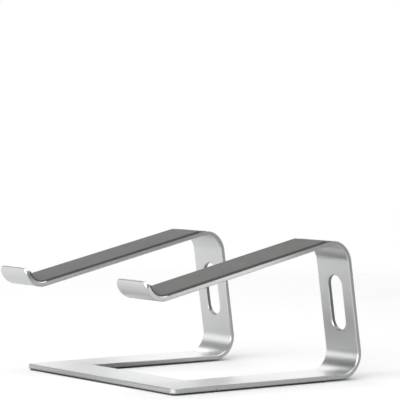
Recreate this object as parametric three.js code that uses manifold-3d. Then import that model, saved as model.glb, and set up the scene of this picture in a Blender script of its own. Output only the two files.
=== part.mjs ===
// Laptop stand: a flat crossbar and two bent strips that screw together from below.
// Millimetres and degrees. +X is the user's right, +Y goes away from the user and +Z is up.
// The origin is in the middle of the stand's footprint, on the surface that it stands on.

import * as THREE from "three";
import { mergeVertices } from "three/addons/utils/BufferGeometryUtils.js";
import Module from "manifold-3d";

// ---------------------------------------------------------------- driving dimensions

const OVERALL_WIDTH = 260; // outer face of one arm to outer face of the other
const STRIP_THICKNESS = 4.8; // the aluminium of the crossbar and of both arms
const EDGE_CHAMFER = 0.7; // bright bevel along the long edges of the aluminium

const CROSSBAR_DEPTH = 51; // front edge to the seam with the arms
const CROSSBAR_CORNER_RADIUS = 7;

const ARM_WIDTH = 50;
const FOOT_LENGTH = 210; // front edge of the crossbar to the start of the lower bend
const LOWER_BEND_RADIUS = 19.2; // inside of the bend
const LEG_LENGTH = 91; // straight part between the bends
const LEG_LEAN = 8.5; // forward from upright
const TOP_BEND_RADIUS = 20.6; // inside of the bend
const SUPPORT_LENGTH = 203.5; // straight part that carries the laptop
const SUPPORT_SLOPE = 12.75; // down towards the front
const HOOK_RADIUS = 15.5; // inside of the hook
const HOOK_SWEEP = 101;
const HOOK_CORNER_RADIUS = 7;

const SLOT_WIDTH = 21.2;
const SLOT_LENGTH = 57; // over its round ends
const SLOT_HEIGHT = 48; // start of the leg to the slot's middle

const TONGUE_WIDTH = 34;
const TONGUE_LENGTH = 34; // forward of the seam
const TONGUE_THICKNESS = 2;
const TONGUE_CORNER_RADIUS = 4;

const SCREW_RADIUS = 2;
const SCREW_HEAD_RADIUS = 3.6;
const SCREW_HEAD_RIM = 0.2; // straight rim below the countersunk cone
const SCREW_RECESS = 0.1; // head below the tongue's underside
const SCREW_TIP_CHAMFER = 0.3;
const SCREW_SPACING = 18; // between the two screws of one arm
const SCREW_SETBACK = 17; // seam to the screws
const SCREW_HOLE_COVER = 0.6; // metal left above the blind threaded hole
const SOCKET_ACROSS_FLATS = 2.5;
const SOCKET_DEPTH = 1.1;

const ARM_PAD_THICKNESS = 1.5;
const ARM_PAD_EDGE_MARGIN = 1; // bare metal beside the pad
const ARM_PAD_REAR_MARGIN = 3; // top bend to the pad's end
const ARM_PAD_HOOK_MARGIN = 5; // hook's tip to the pad's end
const FOOT_PAD_THICKNESS = 1.4;
const FOOT_PAD_MARGIN = 1.5; // bare metal round the foot pads
const FOOT_PAD_REAR_MARGIN = 21; // foot pad's end to the start of the lower bend
const FOOT_PAD_CORNER_RADIUS = 3;

const CLEARANCE = 0.3; // seam, tongue in its pocket, screw in its hole
const ADHESIVE = 0.3; // glue film under every pad

// ---------------------------------------------------------------- finishes and fineness

const ANODISED_ALUMINIUM = { color: 0xc4c6c5, metalness: 1, roughness: 0.36 };
const GREY_SILICONE = { color: 0x646463, metalness: 0, roughness: 0.7 };
const DARK_RUBBER = { color: 0x2c2c2c, metalness: 0, roughness: 0.85 };
const PLATED_STEEL = { color: 0x8d8f90, metalness: 1, roughness: 0.3 };

const BEND_STEP = THREE.MathUtils.degToRad(4.5); // largest turn between two stations of a bend
const CORNER_STEPS = 10; // straight pieces in a rounded corner
const ROUND_SIDES = 32;
const OVERCUT = 5; // how far a cutting tool runs past the metal
const MERGE_TOLERANCE = 1e-4;

// ---------------------------------------------------------------- worked out from the above

const METAL_BOTTOM = FOOT_PAD_THICKNESS + ADHESIVE;
const METAL_TOP = METAL_BOTTOM + STRIP_THICKNESS;
const SEAM = CROSSBAR_DEPTH + CLEARANCE; // front face of each arm's shoulder
const TONGUE_FRONT = SEAM - TONGUE_LENGTH;
const TONGUE_TOP = METAL_BOTTOM + TONGUE_THICKNESS;
const POCKET_TOP = TONGUE_TOP + CLEARANCE;
const SCREW_HOLE_TOP = METAL_TOP - SCREW_HOLE_COVER;
const SCREW_BASE = METAL_BOTTOM + SCREW_RECESS;
const SCREW_LENGTH = SCREW_HOLE_TOP - CLEARANCE - SCREW_BASE;
const ARM_MIDDLE = (OVERALL_WIDTH - ARM_WIDTH) / 2; // centre line of an arm from the middle of the stand

// ---------------------------------------------------------------- solids

const wasm = await Module();
wasm.setup();

function toSolid(geometry) {
  const bare = geometry.clone();
  bare.deleteAttribute("normal");
  bare.deleteAttribute("uv");
  const merged = mergeVertices(bare, MERGE_TOLERANCE);
  return new wasm.Manifold(
    new wasm.Mesh({
      numProp: 3,
      vertProperties: new Float32Array(merged.attributes.position.array),
      triVerts: new Uint32Array(merged.index.array),
    }),
  );
}

function toGeometry(solid) {
  const mesh = solid.getMesh();
  const geometry = new THREE.BufferGeometry();
  geometry.setAttribute("position", new THREE.BufferAttribute(mesh.vertProperties, 3));
  geometry.setIndex(new THREE.BufferAttribute(mesh.triVerts, 1));
  geometry.computeVertexNormals();
  return geometry;
}

/** A flat outline raised from bottom to top, with an optional chamfer round both faces. */
function raised(shape, bottom, top, chamfer = 0) {
  const geometry = new THREE.ExtrudeGeometry(shape, {
    depth: top - bottom - 2 * chamfer,
    bevelEnabled: chamfer > 0,
    bevelThickness: chamfer,
    bevelSize: chamfer,
    bevelOffset: -chamfer,
    bevelSegments: 1,
    curveSegments: CORNER_STEPS,
  });
  return geometry.translate(0, 0, bottom + chamfer);
}

/** A rectangle in plan with its own radius at the front corners and at the rear corners. */
function plate(halfWidth, front, rear, frontRadius, rearRadius) {
  const shape = new THREE.Shape();
  shape.moveTo(-halfWidth + frontRadius, front);
  shape.lineTo(halfWidth - frontRadius, front);
  if (frontRadius > 0) {
    shape.absarc(halfWidth - frontRadius, front + frontRadius, frontRadius, -Math.PI / 2, 0);
  }
  shape.lineTo(halfWidth, rear - rearRadius);
  if (rearRadius > 0) {
    shape.absarc(halfWidth - rearRadius, rear - rearRadius, rearRadius, 0, Math.PI / 2);
  }
  shape.lineTo(-halfWidth + rearRadius, rear);
  if (rearRadius > 0) {
    shape.absarc(-halfWidth + rearRadius, rear - rearRadius, rearRadius, Math.PI / 2, Math.PI);
  }
  shape.lineTo(-halfWidth, front + frontRadius);
  if (frontRadius > 0) {
    shape.absarc(-halfWidth + frontRadius, front + frontRadius, frontRadius, Math.PI, 1.5 * Math.PI);
  }
  return shape;
}

/** A round-ended slot about the origin, long in the shape's y direction. */
function stadium(width, length) {
  const radius = width / 2;
  const reach = length / 2 - radius;
  const shape = new THREE.Shape();
  shape.absarc(0, reach, radius, 0, Math.PI);
  shape.absarc(0, -reach, radius, Math.PI, 2 * Math.PI);
  return shape;
}

/** A solid of revolution about Z from [radius, height] pairs that start and end on the axis. */
function turned(profile) {
  const points = profile.map(([radius, height]) => new THREE.Vector2(radius, height));
  return new THREE.LatheGeometry(points, ROUND_SIDES).rotateX(Math.PI / 2);
}

// ---------------------------------------------------------------- the arm's path in the side view

/**
 * The middle line of a bent strip, in the plane x = 0. A run is straight when it has a length, and a
 * bend when it has a radius and a turn, positive to the left of travel. Places on it are distances
 * along the line.
 */
class StripPath {
  constructor(y, z, runs) {
    this.runs = [];
    let heading = 0;
    let start = 0;
    for (const run of runs) {
      const length = run.length ?? run.radius * Math.abs(run.turn);
      this.runs.push({ ...run, y, z, heading, start, length });
      [y, z, heading] = this.travel(this.runs.at(-1), length);
      start += length;
    }
    this.length = start;
  }

  /** Place and heading after a distance along one run. */
  travel(run, distance) {
    if (!run.turn) {
      const y = run.y + distance * Math.cos(run.heading);
      const z = run.z + distance * Math.sin(run.heading);
      return [y, z, run.heading];
    }
    const side = Math.sign(run.turn);
    const heading = run.heading + (side * distance) / run.radius;
    const y = run.y + side * run.radius * (Math.sin(heading) - Math.sin(run.heading));
    const z = run.z - side * run.radius * (Math.cos(heading) - Math.cos(run.heading));
    return [y, z, heading];
  }

  startOf(name) {
    return this.runs.find((run) => run.name === name).start;
  }

  at(distance) {
    const run = this.runs.findLast((candidate) => distance >= candidate.start) ?? this.runs[0];
    return this.travel(run, distance - run.start);
  }

  /** The point beside the line, with offsets positive to the left of travel. */
  beside(distance, offset) {
    const [y, z, heading] = this.at(distance);
    return new THREE.Vector2(y - offset * Math.sin(heading), z + offset * Math.cos(heading));
  }

  /** Axes at a place: x across the strip, y along it and z out of its left face. */
  axes(distance) {
    const [y, z, heading] = this.at(distance);
    const across = new THREE.Vector3(1, 0, 0);
    const along = new THREE.Vector3(0, Math.cos(heading), Math.sin(heading));
    const out = new THREE.Vector3().crossVectors(across, along);
    return new THREE.Matrix4().makeBasis(across, along, out).setPosition(0, y, z);
  }

  /** Distances where an outline needs a point: the ends of every run, and steps round each bend. */
  stations(from, to) {
    const places = [from, to];
    for (const run of this.runs) {
      const steps = run.turn ? Math.ceil(Math.abs(run.turn) / BEND_STEP) : 1;
      for (let step = 0; step <= steps; step += 1) {
        places.push(run.start + (run.length * step) / steps);
      }
    }
    const inside = places.filter((place) => place >= from && place <= to).sort((a, b) => a - b);
    return inside.filter((place, index) => index === 0 || place - inside[index - 1] > MERGE_TOLERANCE);
  }

  /** The strip between two places and two offsets, carried across a width that is centred on x = 0. */
  ribbon(from, to, leftOffset, rightOffset, width, chamfer = 0) {
    const places = this.stations(from, to);
    const right = places.map((place) => this.beside(place, rightOffset));
    const left = places.map((place) => this.beside(place, leftOffset));
    const outline = new THREE.Shape([...right, ...left.reverse()]);
    const sideways = new THREE.Matrix4().makeBasis(
      new THREE.Vector3(0, 1, 0),
      new THREE.Vector3(0, 0, 1),
      new THREE.Vector3(1, 0, 0),
    );
    return raised(outline, -width / 2, width / 2, chamfer).applyMatrix4(sideways);
  }
}

const HALF_THICKNESS = STRIP_THICKNESS / 2;
const { degToRad } = THREE.MathUtils;

const topBendTurn = degToRad(90 - LEG_LEAN + SUPPORT_SLOPE);

const armPath = new StripPath(TONGUE_FRONT, METAL_BOTTOM + HALF_THICKNESS, [
  { name: "foot", length: FOOT_LENGTH - TONGUE_FRONT },
  { name: "lower_bend", radius: LOWER_BEND_RADIUS + HALF_THICKNESS, turn: degToRad(90 + LEG_LEAN) },
  { name: "leg", length: LEG_LENGTH },
  { name: "top_bend", radius: TOP_BEND_RADIUS + HALF_THICKNESS, turn: topBendTurn },
  { name: "support", length: SUPPORT_LENGTH },
  { name: "hook", radius: HOOK_RADIUS + HALF_THICKNESS, turn: -degToRad(HOOK_SWEEP) },
]);

// ---------------------------------------------------------------- arm

/** The tongue in plan, grown all round by a clearance and run past the seam at its rear. */
function tonguePlan(grow) {
  const halfWidth = TONGUE_WIDTH / 2 + grow;
  return plate(halfWidth, TONGUE_FRONT - grow, SEAM + OVERCUT, TONGUE_CORNER_RADIUS + grow, 0);
}

/** The metal that is milled off in front of the seam, all but the tongue. */
function tongueCut() {
  const blank = plate(ARM_WIDTH / 2 + OVERCUT, TONGUE_FRONT - OVERCUT, SEAM, 0, 0);
  const milled = toSolid(raised(blank, METAL_BOTTOM - OVERCUT, METAL_TOP + OVERCUT));
  return milled.subtract(toSolid(raised(tonguePlan(0), METAL_BOTTOM - 2 * OVERCUT, TONGUE_TOP)));
}

/** The corner of the hook's tip on the +x side, as the metal to be taken off. */
function hookCornerCut() {
  const edge = ARM_WIDTH / 2;
  const inner = edge - HOOK_CORNER_RADIUS;
  const shape = new THREE.Shape();
  shape.moveTo(inner, OVERCUT);
  shape.lineTo(inner, 0);
  shape.absarc(inner, -HOOK_CORNER_RADIUS, HOOK_CORNER_RADIUS, Math.PI / 2, 0, true);
  shape.lineTo(edge + OVERCUT, -HOOK_CORNER_RADIUS);
  shape.lineTo(edge + OVERCUT, OVERCUT);
  return toSolid(raised(shape, -OVERCUT, OVERCUT));
}

/** Where one arm's screws stand, from the arm's own centre line. */
const screwPlaces = [-1, 1].map(
  (side) => new THREE.Vector3((side * SCREW_SPACING) / 2, SEAM - SCREW_SETBACK, 0),
);

/** The clearance hole and countersink for a screw, up through the tongue. */
function countersink() {
  const shank = SCREW_RADIUS + CLEARANCE;
  const head = SCREW_HEAD_RADIUS + CLEARANCE;
  const rimTop = SCREW_BASE + SCREW_HEAD_RIM + CLEARANCE / 2;
  return toSolid(
    turned([
      [0, METAL_BOTTOM - OVERCUT],
      [head, METAL_BOTTOM - OVERCUT],
      [head, rimTop],
      [shank, rimTop + head - shank],
      [shank, METAL_TOP],
      [0, METAL_TOP],
    ]),
  );
}

function armGeometry() {
  const metal = armPath.ribbon(0, armPath.length, HALF_THICKNESS, -HALF_THICKNESS, ARM_WIDTH, EDGE_CHAMFER);
  const slot = raised(stadium(SLOT_WIDTH, SLOT_LENGTH), -OVERCUT, OVERCUT);
  slot.applyMatrix4(armPath.axes(armPath.startOf("leg") + SLOT_HEIGHT));
  const corner = hookCornerCut();
  const tip = armPath.axes(armPath.length).toArray();
  let solid = toSolid(metal).subtract(tongueCut()).subtract(toSolid(slot));
  solid = solid.subtract(corner.transform(tip)).subtract(corner.mirror([1, 0, 0]).transform(tip));
  for (const place of screwPlaces) {
    solid = solid.subtract(countersink().translate([place.x, place.y, 0]));
  }
  return toGeometry(solid);
}

// ---------------------------------------------------------------- crossbar

function crossbarGeometry() {
  const outline = plate(OVERALL_WIDTH / 2, 0, CROSSBAR_DEPTH, CROSSBAR_CORNER_RADIUS, 0);
  let solid = toSolid(raised(outline, METAL_BOTTOM, METAL_TOP, EDGE_CHAMFER));
  const pocket = toSolid(raised(tonguePlan(CLEARANCE), METAL_BOTTOM - OVERCUT, POCKET_TOP));
  const bore = SCREW_RADIUS + CLEARANCE;
  const screwHole = toSolid(
    turned([
      [0, METAL_BOTTOM],
      [bore, METAL_BOTTOM],
      [bore, SCREW_HOLE_TOP],
      [0, SCREW_HOLE_TOP],
    ]),
  );
  for (const side of [-1, 1]) {
    solid = solid.subtract(pocket.translate([side * ARM_MIDDLE, 0, 0]));
    for (const place of screwPlaces) {
      solid = solid.subtract(screwHole.translate([side * ARM_MIDDLE + place.x, place.y, 0]));
    }
  }
  return toGeometry(solid);
}

// ---------------------------------------------------------------- screws

function screwGeometry() {
  const coneTop = SCREW_HEAD_RIM + SCREW_HEAD_RADIUS - SCREW_RADIUS;
  const body = toSolid(
    turned([
      [0, 0],
      [SCREW_HEAD_RADIUS, 0],
      [SCREW_HEAD_RADIUS, SCREW_HEAD_RIM],
      [SCREW_RADIUS, coneTop],
      [SCREW_RADIUS, SCREW_LENGTH - SCREW_TIP_CHAMFER],
      [SCREW_RADIUS - SCREW_TIP_CHAMFER, SCREW_LENGTH],
      [0, SCREW_LENGTH],
    ]),
  );
  const hexagon = [0, 1, 2, 3, 4, 5].map((corner) => {
    const angle = (corner * Math.PI) / 3;
    const reach = SOCKET_ACROSS_FLATS / Math.sqrt(3);
    return new THREE.Vector2(reach * Math.cos(angle), reach * Math.sin(angle));
  });
  const socket = toSolid(raised(new THREE.Shape(hexagon), -OVERCUT, SOCKET_DEPTH));
  return toGeometry(body.subtract(socket));
}

// ---------------------------------------------------------------- pads

function armPadGeometry() {
  const from = armPath.startOf("support") + ARM_PAD_REAR_MARGIN;
  const to = armPath.length - ARM_PAD_HOOK_MARGIN;
  const under = -(HALF_THICKNESS + ADHESIVE);
  return armPath.ribbon(from, to, under, under - ARM_PAD_THICKNESS, ARM_WIDTH - 2 * ARM_PAD_EDGE_MARGIN);
}

function footPadGeometry() {
  const halfWidth = ARM_WIDTH / 2 - FOOT_PAD_MARGIN;
  const rear = FOOT_LENGTH - FOOT_PAD_REAR_MARGIN;
  const radius = FOOT_PAD_CORNER_RADIUS;
  const shape = plate(halfWidth, SEAM + FOOT_PAD_MARGIN, rear, radius, radius);
  return raised(shape, 0, FOOT_PAD_THICKNESS);
}

/** The mat under the crossbar, cut away from the rear round both tongues. */
function crossbarPadGeometry() {
  const halfWidth = OVERALL_WIDTH / 2 - FOOT_PAD_MARGIN;
  const radius = CROSSBAR_CORNER_RADIUS - FOOT_PAD_MARGIN;
  const outline = plate(halfWidth, FOOT_PAD_MARGIN, CROSSBAR_DEPTH - FOOT_PAD_MARGIN, radius, 0);
  let solid = toSolid(raised(outline, 0, FOOT_PAD_THICKNESS));
  const notch = toSolid(raised(tonguePlan(FOOT_PAD_MARGIN), -OVERCUT, OVERCUT));
  for (const side of [-1, 1]) {
    solid = solid.subtract(notch.translate([side * ARM_MIDDLE, 0, 0]));
  }
  return toGeometry(solid);
}

// ---------------------------------------------------------------- assembly

function piece(name, geometry, finish) {
  const mesh = new THREE.Mesh(geometry, new THREE.MeshStandardMaterial(finish));
  mesh.name = name;
  return mesh;
}

const laptopStand = new THREE.Group();
laptopStand.add(piece("front_crossbar", crossbarGeometry(), ANODISED_ALUMINIUM));
laptopStand.add(piece("crossbar_foot_pad", crossbarPadGeometry(), DARK_RUBBER));

const armShape = armGeometry();
for (const [hand, side] of [["left", -1], ["right", 1]]) {
  const arm = new THREE.Group();
  arm.position.x = side * ARM_MIDDLE;
  arm.add(piece(`${hand}_arm`, armShape, ANODISED_ALUMINIUM));
  arm.add(piece(`${hand}_arm_pad`, armPadGeometry(), GREY_SILICONE));
  arm.add(piece(`${hand}_foot_pad`, footPadGeometry(), DARK_RUBBER));
  for (const place of screwPlaces) {
    const name = Math.sign(place.x) === side ? "outer" : "inner";
    const screw = piece(`${hand}_${name}_screw`, screwGeometry(), PLATED_STEEL);
    screw.position.set(place.x, place.y, SCREW_BASE);
    arm.add(screw);
  }
  laptopStand.add(arm);
}

// The paths above start at the crossbar's front edge, so the whole stand moves until its box is centred.
const box = new THREE.Box3().setFromObject(laptopStand);
laptopStand.position.y = -(box.min.y + box.max.y) / 2;

export default laptopStand;
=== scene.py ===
"""Looks of a laptop stand: a flat crossbar and two bent aluminium arms with silicone pads.

Metres. +X is the user's right, +Y goes away from the user and +Z is up. Every metal or rubber sheet of
the stand is a slab: a flat outline with a profiled edge, carried along a path of straight runs and bends.
"""

import logging
import math
from dataclasses import dataclass
from enum import Enum

import bmesh
import bpy
import numpy as np
from mathutils import Matrix, Vector


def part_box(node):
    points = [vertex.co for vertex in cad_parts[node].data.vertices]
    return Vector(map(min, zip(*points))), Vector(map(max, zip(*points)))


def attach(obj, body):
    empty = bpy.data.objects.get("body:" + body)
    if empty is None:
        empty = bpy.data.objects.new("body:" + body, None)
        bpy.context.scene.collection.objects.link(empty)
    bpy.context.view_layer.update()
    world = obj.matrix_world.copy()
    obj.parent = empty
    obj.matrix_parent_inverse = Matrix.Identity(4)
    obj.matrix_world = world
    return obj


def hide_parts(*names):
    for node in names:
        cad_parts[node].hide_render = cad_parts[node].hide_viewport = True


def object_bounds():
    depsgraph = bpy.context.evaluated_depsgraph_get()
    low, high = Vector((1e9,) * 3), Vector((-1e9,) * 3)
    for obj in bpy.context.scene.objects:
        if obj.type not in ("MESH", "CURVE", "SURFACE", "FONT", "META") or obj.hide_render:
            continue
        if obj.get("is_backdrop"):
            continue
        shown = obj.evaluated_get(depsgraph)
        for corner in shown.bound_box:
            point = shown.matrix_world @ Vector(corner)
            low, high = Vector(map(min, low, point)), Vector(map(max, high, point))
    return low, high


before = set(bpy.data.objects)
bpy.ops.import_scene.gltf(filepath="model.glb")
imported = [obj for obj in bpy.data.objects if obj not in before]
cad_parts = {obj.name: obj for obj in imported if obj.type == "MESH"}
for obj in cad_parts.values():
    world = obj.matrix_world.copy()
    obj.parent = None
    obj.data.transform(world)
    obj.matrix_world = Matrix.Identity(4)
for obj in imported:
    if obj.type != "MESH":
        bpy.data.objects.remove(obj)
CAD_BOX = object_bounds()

log = logging.getLogger("laptop_stand")

BODY = "root"
SHEET_UV = "sheet"
WELD = 2e-6  # vertices closer than this are one
SHARP_ANGLE = math.radians(22)
OVERRUN = 0.002  # how far a cutter, and the root of a tongue, runs past what it meets


class Slot(Enum):
    """The record's material slots."""

    ALUMINIUM = "anodised_aluminium"
    SILICONE = "grey_silicone"
    RUBBER = "dark_rubber"
    STEEL = "plated_steel"


class Hand(Enum):
    """Which side of the user a piece is on, as the sign of its X."""

    LEFT = -1
    RIGHT = 1


Triple = tuple[float, float, float]  # X, Y and Z
Tone = tuple[float, float, float]  # a linear colour
Spread = tuple[float, float]  # the lowest and the highest value of something that varies


# ---------------------------------------------------------------- node helpers


class NodeGraph:
    """A material's or world's node tree, with short calls to add and join nodes."""

    NOISE_LOW, NOISE_HIGH = 0.3, 0.7

    def __init__(self, tree: bpy.types.NodeTree) -> None:
        """Empties the tree.

        Args:
            tree: The tree to fill.
        """
        self.tree = tree
        tree.nodes.clear()

    def add(self, kind: str, inputs: dict | None = None, **settings: object) -> bpy.types.Node:
        """Adds a node.

        Args:
            kind: The node's class name.
            inputs: Socket name or number to a value, or to an output socket to link.
            settings: Properties of the node itself.

        Returns:
            The new node.
        """
        node = self.tree.nodes.new(kind)
        for name, value in settings.items():
            setattr(node, name, value)
        for name, value in (inputs or {}).items():
            if isinstance(value, bpy.types.NodeSocket):
                self.tree.links.new(value, node.inputs[name])
            else:
                node.inputs[name].default_value = value
        return node

    def noise(self, vector: bpy.types.NodeSocket, scale: float, detail: float) -> bpy.types.NodeSocket:
        """A noise value from 0 to 1 at a place.

        Args:
            vector: The place, in metres.
            scale: Cells per metre.
            detail: Octaves above the first.

        Returns:
            The noise value's socket.
        """
        node = self.add("ShaderNodeTexNoise", {"Vector": vector, "Scale": scale, "Detail": detail})
        return node.outputs[0]

    def spread(self, value: bpy.types.NodeSocket, low: float, high: float) -> bpy.types.NodeSocket:
        """Maps the middle part of a noise's values, where most of them lie, onto low to high.

        Args:
            value: A value from a noise.
            low: Result for the darkest noise.
            high: Result for the lightest noise.

        Returns:
            The mapped value's socket.
        """
        inputs = {"Value": value, "From Min": self.NOISE_LOW, "From Max": self.NOISE_HIGH}
        inputs |= {"To Min": low, "To Max": high}
        return self.add("ShaderNodeMapRange", inputs).outputs["Result"]

    def place(self) -> bpy.types.NodeSocket:
        """The place on the piece, in metres."""
        return self.add("ShaderNodeTexCoord").outputs["Object"]

    def lines(self, per_metre: float, stretch: float, detail: float) -> bpy.types.NodeSocket:
        """A noise value that is drawn out into lines along a strip.

        Args:
            per_metre: Lines across a metre of the strip.
            stretch: Share of that number along it.
            detail: Octaves above the first.

        Returns:
            The noise value's socket.
        """
        sheet = self.add("ShaderNodeUVMap", uv_map=SHEET_UV).outputs["UV"]
        drawn = self.add("ShaderNodeMapping", {"Vector": sheet, "Scale": (stretch, 1.0, 1.0)})
        return self.noise(drawn.outputs["Vector"], per_metre, detail)

    def blend(self, factor: bpy.types.NodeSocket, first: Tone, second: Tone) -> bpy.types.NodeSocket:
        """Mixes two colours.

        Args:
            factor: Share of the second colour.
            first: The first colour.
            second: The second colour.

        Returns:
            The mixed colour's socket.
        """
        node = self.add("ShaderNodeMix", {"Factor": factor}, data_type="RGBA")
        node.inputs["A"].default_value = (*first, 1.0)
        node.inputs["B"].default_value = (*second, 1.0)
        return node.outputs["Result"]

    def bump(self, height: bpy.types.NodeSocket, depth: float) -> bpy.types.NodeSocket:
        """Turns a height from 0 to 1, which stands for a depth in metres, into a normal."""
        node = self.add("ShaderNodeBump", {"Height": height, "Distance": depth, "Strength": 1.0})
        return node.outputs["Normal"]

    def principled(self, inputs: dict) -> None:
        """Ends a material with a principled surface that has the given inputs."""
        self.surface(self.add("ShaderNodeBsdfPrincipled", inputs))

    def surface(self, shader: bpy.types.Node, output: str = "ShaderNodeOutputMaterial") -> None:
        """Joins a shader to a new output node."""
        self.add(output, {"Surface": shader.outputs[0]})


def new_material(name: str) -> tuple[bpy.types.Material, NodeGraph]:
    """Makes an empty node material.

    Args:
        name: The material's name.

    Returns:
        The material and its graph.
    """
    material = bpy.data.materials.new(name)
    material.use_nodes = True
    return material, NodeGraph(material.node_tree)


# ---------------------------------------------------------------- finishes


@dataclass(frozen=True)
class BlastedAluminium:
    """Bead-blasted and anodised aluminium: a fine even pebble grain under a satin oxide skin.

    Attributes:
        tone: Colour of the metal.
        tone_spread: How far the tone drifts over a hand's width.
        roughness: Mean roughness.
        roughness_spread: Drift of the roughness.
        clouds_per_metre: Drifts of tone along a metre.
        grain_per_metre: Blast dimples along a metre.
        grain_depth: Height of the dimples in metres.
    """

    tone: Tone = (0.70, 0.712, 0.706)
    tone_spread: float = 0.012
    roughness: float = 0.34
    roughness_spread: float = 0.03
    clouds_per_metre: float = 14.0
    grain_per_metre: float = 2600.0
    grain_depth: float = 0.00001

    def material(self) -> bpy.types.Material:
        """The finish as a material."""
        material, graph = new_material("blasted_aluminium")
        place = graph.place()
        cloud = graph.noise(place, self.clouds_per_metre, detail=3.0)
        grain = graph.noise(place, self.grain_per_metre, detail=1.0)
        low = tuple(value - self.tone_spread for value in self.tone)
        high = tuple(value + self.tone_spread for value in self.tone)
        smoothest = self.roughness - self.roughness_spread
        drift = graph.spread(cloud, smoothest, self.roughness + self.roughness_spread)
        speck = graph.spread(grain, -self.roughness_spread, self.roughness_spread)
        rough = graph.add("ShaderNodeMath", {0: drift, 1: speck}, operation="ADD")
        graph.principled(
            {
                "Base Color": graph.blend(graph.spread(cloud, 0.0, 1.0), low, high),
                "Metallic": 1.0,
                "Roughness": rough.outputs[0],
                "Normal": graph.bump(grain, self.grain_depth),
            }
        )
        return material


@dataclass(frozen=True)
class CutChamfer:
    """The diamond-cut bevel: bright, with faint tool lines along the edge.

    Attributes:
        tone: Colour of the metal.
        roughness: Lowest and highest roughness.
        lines_per_metre: Tool lines across a metre.
        stretch: Share of that number along the edge.
    """

    tone: Tone = (0.7, 0.705, 0.7)
    roughness: Spread = (0.25, 0.37)
    lines_per_metre: float = 9000.0
    stretch: float = 0.01

    def material(self) -> bpy.types.Material:
        """The finish as a material."""
        material, graph = new_material("cut_chamfer")
        lines = graph.lines(self.lines_per_metre, self.stretch, detail=2.0)
        rough = graph.spread(lines, *self.roughness)
        graph.principled({"Base Color": (*self.tone, 1.0), "Metallic": 1.0, "Roughness": rough})
        return material


@dataclass(frozen=True)
class MilledEdge:
    """The sawn and milled side of the sheet: satin, with fine lines that run along the strip.

    Attributes:
        name: The material's name.
        tone: Colour of the metal; the slot wall's much darker tone is painted shade.
        roughness: Lowest and highest roughness.
        lines_per_metre: Milling lines across a metre.
        stretch: Share of that number along the strip.
        line_depth: Height of the lines in metres.
    """

    name: str
    tone: Tone
    roughness: Spread
    lines_per_metre: float = 3200.0
    stretch: float = 0.012
    line_depth: float = 0.000012

    def material(self) -> bpy.types.Material:
        """The finish as a material."""
        material, graph = new_material(self.name)
        lines = graph.lines(self.lines_per_metre, self.stretch, detail=3.0)
        graph.principled(
            {
                "Base Color": (*self.tone, 1.0),
                "Metallic": 1.0,
                "Roughness": graph.spread(lines, *self.roughness),
                "Normal": graph.bump(lines, self.line_depth),
            }
        )
        return material


@dataclass(frozen=True)
class MouldedRubber:
    """Silicone or rubber sheet: matt, with a fine leathery mould grain and a little dust in it.

    Attributes:
        name: The material's name.
        tone: Its colour.
        dust_tone: Its colour where dust lies.
        roughness: Lowest and highest roughness.
        grain_per_metre: Grain cells along a metre.
        grain_depth: Height of the grain in metres.
        dust_per_metre: Drifts of dust along a metre.
        sheen: Specular level, which for a clean gloss would be 0.5.
    """

    name: str
    tone: Tone
    dust_tone: Tone
    roughness: Spread
    grain_per_metre: float
    grain_depth: float
    dust_per_metre: float = 25.0
    sheen: float = 0.22

    def material(self) -> bpy.types.Material:
        """The finish as a material."""
        material, graph = new_material(self.name)
        place = graph.place()
        cells = graph.add(
            "ShaderNodeTexVoronoi", {"Vector": place, "Scale": self.grain_per_metre}, feature="SMOOTH_F1"
        ).outputs["Distance"]
        dust = graph.spread(graph.noise(place, self.dust_per_metre, detail=4.0), 0.0, 1.0)
        graph.principled(
            {
                "Base Color": graph.blend(dust, self.tone, self.dust_tone),
                "Roughness": graph.spread(cells, *self.roughness),
                "Specular IOR Level": self.sheen,
                "Normal": graph.bump(cells, self.grain_depth),
            }
        )
        return material


@dataclass(frozen=True)
class PlatedSteel:
    """Nickel-plated steel of a machine screw, with faint turning marks.

    Attributes:
        tone: Colour of the plating.
        roughness: Lowest and highest roughness.
        marks_per_metre: Turning marks along a metre.
        mark_depth: Height of the marks in metres.
    """

    tone: Tone = (0.56, 0.555, 0.54)
    roughness: Spread = (0.21, 0.37)
    marks_per_metre: float = 1800.0
    mark_depth: float = 0.00001

    def material(self) -> bpy.types.Material:
        """The finish as a material."""
        material, graph = new_material("plated_steel")
        marks = graph.noise(graph.place(), self.marks_per_metre, detail=3.0)
        graph.principled(
            {
                "Base Color": (*self.tone, 1.0),
                "Metallic": 1.0,
                "Roughness": graph.spread(marks, *self.roughness),
                "Normal": graph.bump(marks, self.mark_depth),
            }
        )
        return material


class Finishes:
    """Every material of the stand, made once."""

    def __init__(self) -> None:
        """Makes the materials."""
        self.blasted = BlastedAluminium().material()
        self.chamfer = CutChamfer().material()
        self.milled = MilledEdge("milled_edge", (0.66, 0.672, 0.668), (0.25, 0.36)).material()
        # the slot's wall is painted much darker than the outer wall: painted shade inside the slot
        self.slot_wall = MilledEdge("slot_side_painted_shade", (0.3, 0.305, 0.303), (0.35, 0.46)).material()
        self.silicone = MouldedRubber(
            name="grey_silicone",
            tone=(0.1, 0.099, 0.097),
            dust_tone=(0.114, 0.113, 0.11),
            roughness=(0.63, 0.76),
            grain_per_metre=1900.0,
            grain_depth=0.00003,
        ).material()
        self.rubber = MouldedRubber(
            name="dark_rubber",
            tone=(0.05, 0.05, 0.05),
            dust_tone=(0.062, 0.062, 0.06),
            roughness=(0.61, 0.74),
            grain_per_metre=1400.0,
            grain_depth=0.00004,
        ).material()
        self.steel = PlatedSteel().material()

    def metal(self) -> list[bpy.types.Material]:
        """The finishes of a cut sheet, in the order of EdgePart; the slot wall's one is painted shade."""
        return [self.blasted, self.chamfer, self.milled, self.slot_wall]


# ---------------------------------------------------------------- path and slab


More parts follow.
